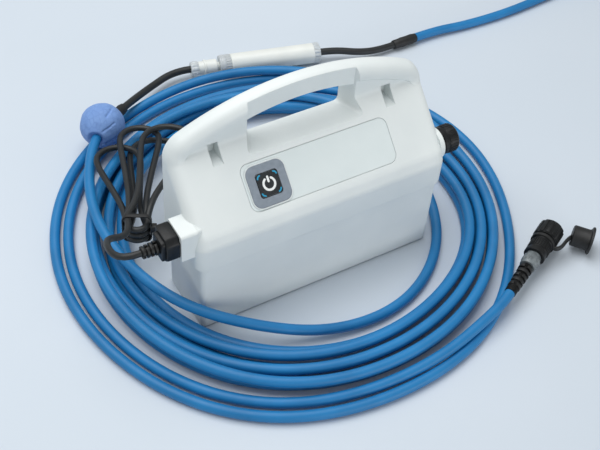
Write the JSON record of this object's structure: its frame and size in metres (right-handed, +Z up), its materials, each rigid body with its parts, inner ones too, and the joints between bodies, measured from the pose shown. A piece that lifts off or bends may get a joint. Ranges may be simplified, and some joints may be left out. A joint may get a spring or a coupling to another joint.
{
  "type": "pool cleaner power supply",
  "caption": "Arched-handle power supply of a pool cleaner with a power key, lying in its coiled floating cable with float, swivel, connector and tied mains lead.",
  "frame": {"origin": "bottom centre of the power supply's box, inlet block and socket cap included, on the floor under its feet", "axes": "+X along the case towards the output socket, +Y to the back, +Z up"},
  "size_m": [0.9788, 0.6613, 0.236],
  "materials": {
    "case_white": "satin moulded",
    "seal_rubber": "matte",
    "steel": "brushed",
    "face_white": "satin film",
    "bezel_grey": "satin",
    "key_black": "gloss",
    "board_green": "solder mask",
    "black_plastic": "satin",
    "contact_brass": "plain",
    "ferrite": "matte",
    "winding": "enamelled",
    "can_blue": "sleeved",
    "sink_metal": "extruded",
    "cable_blue": "satin jacket",
    "lead_black": "satin jacket",
    "float_blue": "foam skin",
    "swivel_white": "satin",
    "clear_plastic": "clear",
    "connector_black": "satin",
    "soft_black": "matte"
  },
  "bodies": {
    "case": {"upper_case": "case_white", "lower_case": "case_white", "case_seal": "seal_rubber", "case_screws": "steel", "rubber_feet": "seal_rubber", "face_sheet": "face_white", "key_bezel": "bezel_grey", "key_switch": "black_plastic", "key_board": "board_green", "mains_inlet": "black_plastic", "inlet_blades": "contact_brass", "output_socket": "black_plastic", "socket_nut": "black_plastic", "socket_pins": "contact_brass", "main_board": "board_green", "board_screws": "steel", "transformer_core": "ferrite", "transformer_coil": "winding", "bulk_capacitors": "can_blue", "heat_sink": "sink_metal", "power_transistors": "black_plastic", "filter_choke": "ferrite", "output_capacitors": "can_blue", "mains_fuse": "clear_plastic", "floating_cable": "cable_blue", "cable_boot": "soft_black", "cable_collet": "clear_plastic", "connector_body": "connector_black", "connector_pins": "contact_brass", "dust_cap": "soft_black", "float_ball": "float_blue", "float_sleeve": "soft_black", "first_lead": "lead_black", "swivel_ring": "clear_plastic", "swivel_tube": "swivel_white", "shaft_seal": "seal_rubber", "swivel_bearings": "steel", "brush_block": "black_plastic", "swivel_cap": "clear_plastic", "second_lead": "lead_black", "tail_sleeve": "soft_black", "cable_tail": "cable_blue", "tail_coil": "cable_blue", "tail_connector": "connector_black", "tail_tie": "soft_black", "mains_plug": "connector_black", "mains_boot": "soft_black", "mains_lead": "lead_black", "mains_hank": "lead_black", "hank_tie": "soft_black", "wall_lead": "lead_black", "wall_plug": "connector_black", "wall_pins": "contact_brass"},
    "key": {"power_key": "key_black"},
    "cap": {"socket_cap": "connector_black"},
    "coupling": {"coupling_ring": "connector_black"},
    "rotor": {"swivel_rotor": "swivel_white", "gland_nut": "clear_plastic", "slip_rings": "contact_brass"}
  },
  "joints": [
    {"name": "key_press", "type": "slide", "parent": "case", "child": "key", "axis": [0, 0.6947, -0.7193], "range_m": [0, 0.001], "stiffness_N_per_m": 900, "springref_m": -0.0015},
    {"name": "cap_turn", "type": "hinge", "parent": "case", "child": "cap", "pos_m": [0.154, -0.017, 0.127], "axis": [1, 0, 0], "range_deg": [0, 60]},
    {"name": "coupling_turn", "type": "hinge", "parent": "case", "child": "coupling", "pos_m": [0.24839, -0.11242, 0.0215], "axis": [0.8859, 0.4635, 0.02], "range_deg": [0, 60]},
    {"name": "swivel_turn", "type": "hinge", "parent": "case", "child": "rotor", "pos_m": [0.022, 0.327, 0.0134], "axis": [0.971, -0.239, 0], "continuous": true}
  ]
}
